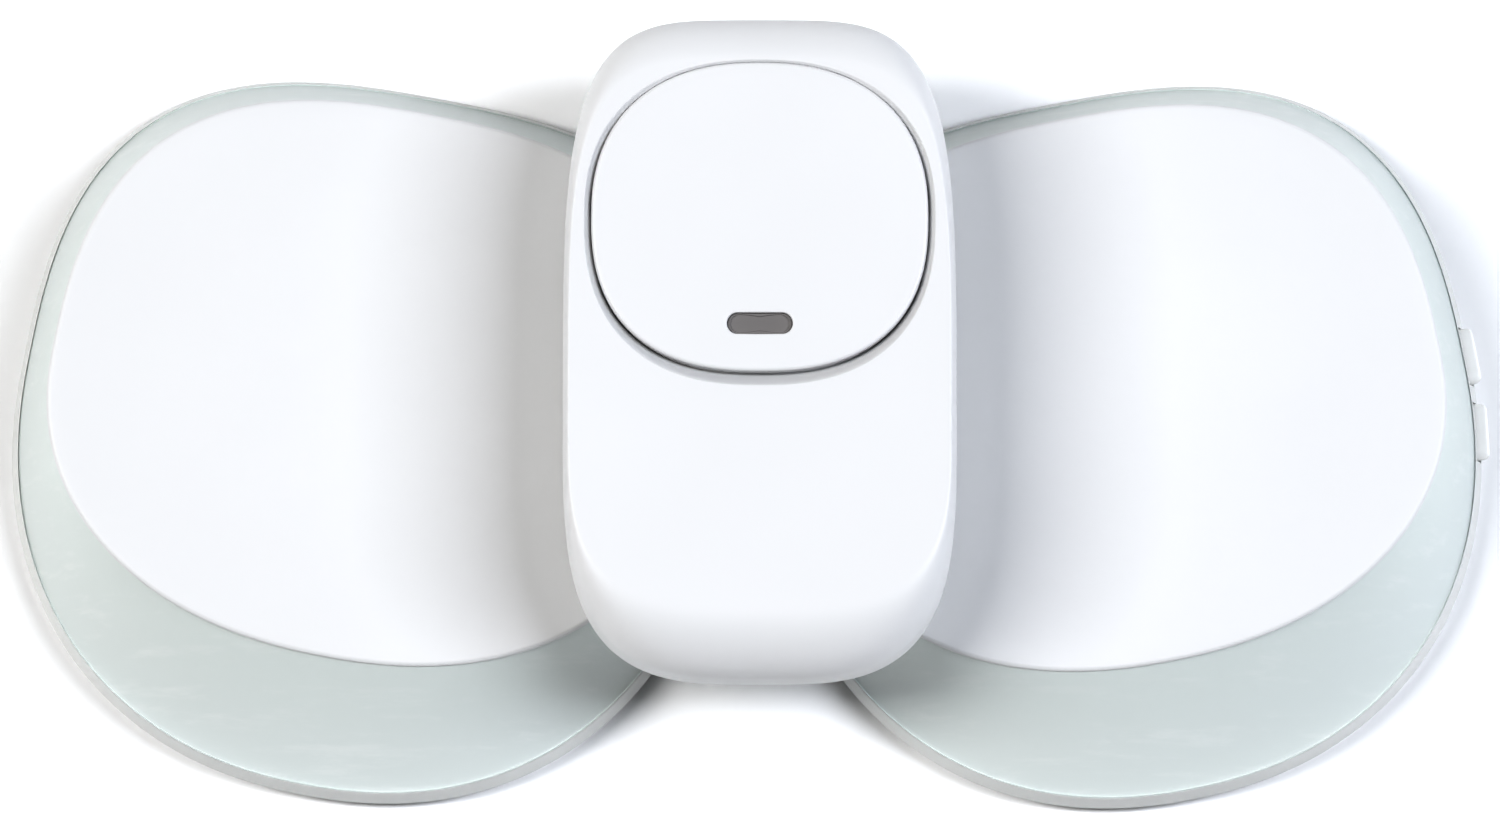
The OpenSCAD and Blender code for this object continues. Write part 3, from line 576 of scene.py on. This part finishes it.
def side_key(side, name, place):
    """Side key: a rounded bar's outline carried outward, drawn in round its outer edge."""
    x, y, turn = KEY_SPOTS[name]
    long, high = KEY_SIZE
    bar = (long / 2, high / 2, high / 2, 7.0, 7.0)
    t = even_angles(bar, AROUND_KEY)
    depth = [(KEY_BACK, 0.3), (KEY_BACK, 0.0), (KEY_PROUD - KEY_CROWN, 0.0)]
    for a in quarter(7):
        depth.append((KEY_PROUD - KEY_SOFT * (1 - math.sin(a)), KEY_SOFT * (1 - math.cos(a))))
    spin = math.radians(turn)
    rings = []
    for out, inset in depth:
        flat = outline(bar, t, inset)
        along = flat[:, 0] * (1 - max(0.0, out - KEY_PROUD + KEY_CROWN) * 0.12)
        px = x + out * math.cos(spin) - along * math.sin(spin)
        py = y + out * math.sin(spin) + along * math.cos(spin)
        rings.append(np.column_stack([px, py, KEY_MID_Z + flat[:, 1]]))
    piece = skin(f"{side}_{name}_key_cap", rings, place, poles=(True, True))
    return fit_out(piece, f"{side}_{name}", [f"{side}_{name}_key"], KEY_WHITE_WITH_PAINTED_LIGHT)


def rim_inset(z):
    """Rounded underside edge, a quarter ellipse, then a straight draw up to the seam."""
    low = FOOT_TOP + UNDER_UP
    if z < low:
        return UNDER_IN * (1 - math.sqrt(1 - min(1, (low - z) / UNDER_UP) ** 2)) - SKIN
    return RIM_DRAW * (z - low) / (SEAM_Z - low) - SKIN


def angle_at(y):
    """Parameter of the base outline's right side at a height y: sin t = (|y|/b)^(k/2)."""
    b, curve = (BASE[1], BASE[3]) if y >= 0 else (BASE[2], BASE[4])
    return math.copysign(math.asin((abs(y) / b) ** (curve / 2)), y)


def door_angle(x):
    """Parameter of the base outline's lower half at a distance x right of the middle."""
    return -math.acos((x / BASE[0]) ** (BASE[4] / 2))


def run(start, end):
    """Parameter values from one end of a strip to the other, about as close as in a full ring."""
    return np.linspace(start, end, max(3, int(abs(end - start) / (2 * np.pi / AROUND))))


def under_heights():
    """Heights up the rounded underside edge, closer together where it is steepest."""
    rises = [UNDER_UP * (1 - math.cos(a)) for a in quarter(7)[1:-1]]
    return [FOOT_TOP - SKIN] + [FOOT_TOP + rise for rise in rises]


def rim_band(side, place):
    """Rim: a low strip open at the battery door, a middle strip open at the two keys, and a ring
    under the halo with its top edge eased."""
    right = door_angle(DOOR_HALF + 0.3)
    low = np.linspace(right, np.pi - right, AROUND)
    heights = under_heights() + [KEY_LOW]
    strips = [strip(sections_along(BASE, low, heights, rim_inset, BAND), False)]
    half = KEY_SIZE[0] / 2 + KEY_SLACK
    edges = [key[1] + end * half for key in KEY_SPOTS.values() for end in (-1, 1)]
    low_key, gap_low, gap_high, high_key = [angle_at(y) for y in sorted(edges)]
    heights = np.linspace(KEY_LOW, KEY_HIGH, 6)
    for t in (run(gap_low, gap_high), run(high_key, 2 * np.pi + low_key)):
        strips.append(strip(sections_along(BASE, t, heights, rim_inset, BAND), False))
    t = even_angles(BASE, AROUND)
    eased = []
    for z, more in ((KEY_HIGH, 0.0), (SEAM_Z - 0.2, 0.0), (SEAM_Z - 0.08, 0.05), (SEAM_Z, 0.2)):
        eased.append((z, rim_inset(z) + more))
    outer = [ring(outline(BASE, t, inset), z) for z, inset in eased]
    inner = [ring(outline(BASE, t, inset + BAND), z) for z, inset in eased[::-1]]
    strips.append(strip(np.stack(outer + inner, axis=1), True))
    piece = walls(side + "_rim_band", strips, place)
    return fit_out(piece, side + "_chime", [], REAR_SHELL)


def door_nose(side, place):
    """Rounded lower edge of the battery door, which carries on the rim's own curve."""
    right = door_angle(DOOR_HALF)
    t = np.linspace(-np.pi - right, right, 160)
    heights = [z for z in under_heights() if z < FLOOR_TOP] + [FLOOR_TOP - SKIN]
    nose = strip(sections_along(BASE, t, heights, rim_inset, BAND), False)
    piece = walls(side + "_door_nose", [nose], place)
    return fit_out(piece, side + "_door", [], REAR_SHELL)


for side, place in CHIMES.items():
    rim_band(side, place)
    door_nose(side, place)
    front_face(side, place)
    halo_flare(side, place)
    for key in KEY_SPOTS:
        side_key(side, key, place)


# ---- bell push
def push_height(x, y):
    """Height of the rounded front at a point: the inset share u whose outline passes through it
    is found by halving, and the height falls by ROUND_HIGH along a quarter ellipse in 1 - u."""
    near = np.zeros_like(x)
    far = np.ones_like(x)
    for _ in range(40):
        u = (near + far) / 2
        inside = fullness(PUSH, x, y, *[drawn * u for drawn in ROUND_IN]) < 1
        near = np.where(inside, u, near)
        far = np.where(inside, far, u)
    rest = 1 - (near + far) / 2
    return PUSH_TOP - ROUND_HIGH * (1 - np.sqrt(np.clip(1 - rest**2, 0, 1)))


def push_housing():
    """Front housing: rays from the cap's centre cross the rounded front, the well's lip, its
    floor and the inside, so every ring has the same headings."""
    seat = (0.0, CAP_Y)
    edge = outline(PUSH, even_angles(PUSH, AROUND_PUSH))
    heading = np.arctan2(edge[:, 1] - seat[1], edge[:, 0] - seat[0])
    at = rays(seat, heading)
    far = reach(PUSH, seat, heading)
    lip = reach(WELL, seat, heading, centre=seat)
    sill = reach(CAP, seat, heading, centre=seat, inset=-0.05)
    inner = reach(PUSH, seat, heading, inset=PUSH_WALL)
    rings = [at(far - 0.25, PUSH_SPLIT), at(far, PUSH_SPLIT + 0.25)]
    for z in np.linspace(PUSH_SPLIT + 1, PUSH_TOP - ROUND_HIGH, 6):
        rings.append(at(far, z))
    for a in np.linspace(0, np.pi, 72)[1:]:
        crown = at(far + (lip - far) * (1 - math.cos(a)) / 2, 0.0)
        crown[:, 2] = push_height(crown[:, 0], crown[:, 1])
        rings.append(crown)
    brim = rings[-1][:, 2]
    s = np.sin(heading)
    upward = np.clip((s - 0.2) / 0.75, 0, 1)
    sill_z = SILL_Z + (PUSH_TOP - 0.3 - SILL_Z) * upward**2 * (3 - 2 * upward)
    sill_z = sill_z - SILL_DIP * np.clip(-s, 0, 1) ** 2
    for along in (0.03, 0.08, 0.16, 0.28, 0.4, 0.52, 0.64, 0.76, 0.88, 1.0):
        down = along**LIP_CURVE
        rings.append(at(lip + (sill - lip) * along, brim + (sill_z - brim) * down))
    for share in (1.0, 0.8, 0.4, 0.1):
        rings.append(at(sill * share, WELL_Z))
    for share in (0.1, 0.5, 1.0):
        rings.append(at(lip * share, WELL_Z - WELL_FLOOR))
    for share in np.linspace(0.06, 1, 14):
        hollow = at(lip + (inner - lip) * np.sin(share * np.pi / 2), 0.0)
        under = push_height(hollow[:, 0] / 0.93, hollow[:, 1] / 0.96) - PUSH_WALL - 0.4
        hollow[:, 2] = np.minimum(under, WELL_Z - WELL_FLOOR + 3 * share)
        rings.append(hollow)
    rings.append(at(inner, PUSH_SPLIT + 2))
    rings.append(at(inner, PUSH_SPLIT))
    piece = skin("push_housing", rings, PUSH_PLACE, closed=True)
    return fit_out(piece, "push_body", ["push_front"], WHITE_SHELL)


def pill_reach(heading, length, width):
    """Distance from the middle of a slot with round ends to its edge along each heading."""
    straight = (length - width) / 2
    c = np.abs(np.cos(heading))
    s = np.abs(np.sin(heading))
    side = (width / 2) / np.maximum(s, 1e-9)
    end = straight * c + np.sqrt(np.clip((width / 2) ** 2 - (straight * s) ** 2, 0, None))
    return np.where(side * c <= straight, side, end)


def press_cap():
    """Press cap: rays from the window's middle run from its slot to the cap's rounded edge."""
    seat = (0.0, WINDOW_Y)
    centre = (0.0, CAP_Y)
    edge = outline(CAP, even_angles(CAP, AROUND)) + np.array(centre)
    slot_turns = np.linspace(0, 2 * np.pi, AROUND_SLOT, endpoint=False)
    heading = np.arctan2(edge[:, 1] - seat[1], edge[:, 0] - seat[0])
    heading = np.sort(np.concatenate([heading, slot_turns - np.pi]))
    heading = heading[np.concatenate([[True], np.diff(heading) > 1e-4])]
    at = rays(seat, heading)
    slot = pill_reach(heading, *WINDOW)
    rings = [at(slot, CAP_LOW), at(slot, PUSH_TOP - SLOT_SOFT)]
    for a in quarter(5)[1:]:
        z = PUSH_TOP - SLOT_SOFT * (1 - math.sin(a))
        rings.append(at(slot + SLOT_SOFT * (1 - math.cos(a)), z))
    start = slot + SLOT_SOFT
    rim = reach(CAP, seat, heading, centre=centre, inset=CAP_SOFT)
    for share in (0.05, 0.2, 0.4, 0.6, 0.8, 0.95):
        rings.append(at(start + (rim - start) * share, PUSH_TOP))
    for a in quarter(9)[::-1]:
        far = reach(CAP, seat, heading, centre=centre, inset=CAP_SOFT * (1 - math.cos(a)))
        rings.append(at(far, PUSH_TOP - CAP_SOFT * (1 - math.sin(a))))
    far = reach(CAP, seat, heading, centre=centre)
    rings.append(at(far, CAP_LOW + 0.15))
    rings.append(at(far - 0.15, CAP_LOW))
    piece = skin("press_cap", rings, PUSH_PLACE, closed=True)
    return fit_out(piece, "push_button", ["push_cap"], WHITE_SHELL)


def window_lens():
    """Indicator window: a slot outline with round ends, its upper edge eased and its middle sunk."""
    heading = np.linspace(0, 2 * np.pi, AROUND_SLOT, endpoint=False)
    slot = pill_reach(heading, WINDOW[0] - 0.02, WINDOW[1] - 0.02)
    at = rays((0.0, WINDOW_Y), heading)
    rings = [at(slot, CAP_LOW), at(slot, LENS_TOP - 0.15), at(slot - 0.1, LENS_TOP)]
    rings += [at(slot - 0.34, LENS_TOP), at(slot - 0.46, LENS_TOP - 0.16)]
    rings += [at(slot * 0.5, LENS_TOP - 0.2), at(slot * 0.2, LENS_TOP - 0.16)]
    piece = skin("window_lens", rings, PUSH_PLACE, poles=(True, True))
    return fit_out(piece, "push_button", ["cap_lens"], WINDOW_GREY)


def back_inset(z):
    """Back housing's side, drawn in by a cube curve towards the wall."""
    return BACK_IN + max(0.0, (BACK_EDGE - z) / (BACK_EDGE - BACK_LOW)) ** 3 - SKIN


def bracket_inset(z):
    """Wall bracket's straight edge: the same at every height."""
    return BRACKET_IN - SKIN


def push_edges():
    """Smooth sides of the back housing and of the wall bracket, as rings round their outlines."""
    t = even_angles(PUSH, AROUND_PUSH)
    heights = np.linspace(BACK_LOW - SKIN, PUSH_SPLIT - SKIN, 12)
    back_wall = [strip(sections_along(PUSH, t, heights, back_inset, BAND), True)]
    piece = walls("back_housing_edge", back_wall, PUSH_PLACE)
    fit_out(piece, "push_body", [], REAR_SHELL)
    heights = np.array([-SKIN, BRACKET_TOP + SKIN])
    plate = [strip(sections_along(PUSH, t, heights, bracket_inset, BAND), True)]
    piece = walls("bracket_edge", plate, PUSH_PLACE)
    fit_out(piece, "bracket", [], WHITE_SHELL)


push_housing()
press_cap()
window_lens()
push_edges()

# ---- finishes of the CAD nodes that show as they are
FINISHES = {
    "white_shell": WHITE_SHELL,
    "rear_shell": REAR_SHELL,
    "key_white": KEY_WHITE_WITH_PAINTED_LIGHT,
    "halo_frost": HALO_FROST,
    "window_grey": WINDOW_GREY,
    "baffle_white": plastic("baffle white", (0.80, 0.80, 0.80), (0.84, 0.84, 0.84), 0.6),
    "circuit_board": board_green("circuit board"),
    "lamp": plastic("lamp", (0.85, 0.80, 0.50), (0.90, 0.86, 0.60), 0.25),
    "cell_wrap": banded("cell wrap", (0.62, 0.62, 0.60), (0.10, 0.24, 0.17), 0.28, 22.0),
    "steel": brushed("steel", (0.55, 0.55, 0.56), (0.68, 0.68, 0.68), 0.32, 14.0),
    "brass_wire": brushed("brass wire", (0.66, 0.46, 0.20), (0.80, 0.60, 0.30), 0.3, 20.0),
    "black_part": plastic("black part", (0.02, 0.02, 0.022), (0.035, 0.035, 0.04), 0.5),
    "speaker_frame": plastic("speaker frame", (0.16, 0.16, 0.17), (0.20, 0.20, 0.21), 0.4),
    "rubber": plastic("rubber", (0.05, 0.05, 0.05), (0.08, 0.08, 0.08), 0.75),
    "foam_pad": celled("foam pad", (0.62, 0.62, 0.60), (0.84, 0.84, 0.81), 1400.0),
}
for part in RECORD["subparts"]:
    shown = frame["nodes"][part["node"]]
    shown.data.materials.clear()
    shown.data.materials.append(FINISHES[part["material_slot"]])

# ---- floor, light and camera. Places and sizes are in metres, power in watts, the lens in mm.
AIM = Vector((-0.00012, 0.00264, 0.0))
TILT = math.radians(8.0)
DISTANCE = 2.0
LENS = 385.8
FLOOR_HALF = 3.0
VIEW_GAMMA = 0.62
WARM = (1.0, 0.995, 0.99)
COOL = (0.91, 0.94, 1.0)
PLAIN = (1.0, 1.0, 1.0)

# Name, place, width, height, power and colour of each lamp.
LAMPS = (
    ("left lamp", (-1.06, 0.06, 1.54), 0.42, 1.2, 27.2, WARM),
    ("right lamp", (1.06, 0.06, 1.54), 0.42, 1.2, 28.2, COOL),
    ("left strip", (-1.6, 0.0, 0.24), 1.4, 0.3, 4.0, WARM),
    ("right strip", (1.6, 0.0, 0.24), 1.4, 0.3, 5.5, COOL),
    ("near strip", (0.0, -1.6, 0.3), 1.4, 0.3, 2.4, PLAIN),
    ("far strip", (0.0, 1.6, 0.3), 1.4, 0.3, 2.4, PLAIN),
)


def floor():
    """Plain pale floor: one flat sheet that the feet stand on."""
    mesh = bpy.data.meshes.new("floor")
    turns = ((-1, -1), (1, -1), (1, 1), (-1, 1))
    corners = [(x * FLOOR_HALF, y * FLOOR_HALF, 0) for x, y in turns]
    mesh.from_pydata(corners, [], [(0, 1, 2, 3)])
    sheet = bpy.data.objects.new("floor", mesh)
    bpy.context.scene.collection.objects.link(sheet)
    material, tree, shader = blank("floor white", 0.9)
    noise = node(tree, "ShaderNodeTexNoise", in_Scale=3.0)
    link(tree, object_space(tree), noise.inputs["Vector"])
    colour = between(tree, noise.outputs["Fac"], (0.95, 0.95, 0.95), (0.96, 0.96, 0.96))
    link(tree, colour, shader.inputs["Base Color"])
    mesh.materials.append(material)


def soft_box(name, place, width, height, power, colour):
    """A rectangular lamp that faces the middle of the set."""
    data = bpy.data.lights.new(name, "AREA")
    data.shape = "RECTANGLE"
    data.size = width
    data.size_y = height
    data.energy = power
    data.color = colour
    lamp = bpy.data.objects.new(name, data)
    lamp.location = place
    lamp.rotation_mode = "QUATERNION"
    lamp.rotation_quaternion = (Vector((0, 0, 0)) - Vector(place)).to_track_quat("-Z", "Y")
    bpy.context.scene.collection.objects.link(lamp)


def studio():
    """Two large lamps above, one on each side, four low strips round the set, and a surround
    that looks pale but hardly lights."""
    for lamp in LAMPS:
        soft_box(*lamp)
    world = bpy.data.worlds.new("surround")
    world.use_nodes = True
    shade = world.node_tree.nodes["Background"]
    shade.inputs["Color"].default_value = (0.97, 0.98, 1.0, 1)
    seen = node(world.node_tree, "ShaderNodeLightPath").outputs["Is Camera Ray"]
    link(world.node_tree, spread(world.node_tree, seen, 0.01, 0.97), shade.inputs["Strength"])
    bpy.context.scene.world = world
    bpy.context.scene.view_settings.view_transform = "Standard"
    bpy.context.scene.view_settings.gamma = VIEW_GAMMA


def camera():
    """Long lens, TILT off straight above, aimed at AIM."""
    data = bpy.data.cameras.new("camera")
    data.lens = LENS
    data.sensor_width = 36.0
    data.clip_start = 0.1
    data.clip_end = 20.0
    view = bpy.data.objects.new("camera", data)
    away = Vector((0.0, -math.sin(TILT), math.cos(TILT)))
    view.location = AIM + away * DISTANCE
    view.rotation_mode = "QUATERNION"
    view.rotation_quaternion = (-away).to_track_quat("-Z", "Y")
    bpy.context.scene.collection.objects.link(view)
    bpy.context.scene.camera = view


floor()
studio()
camera()
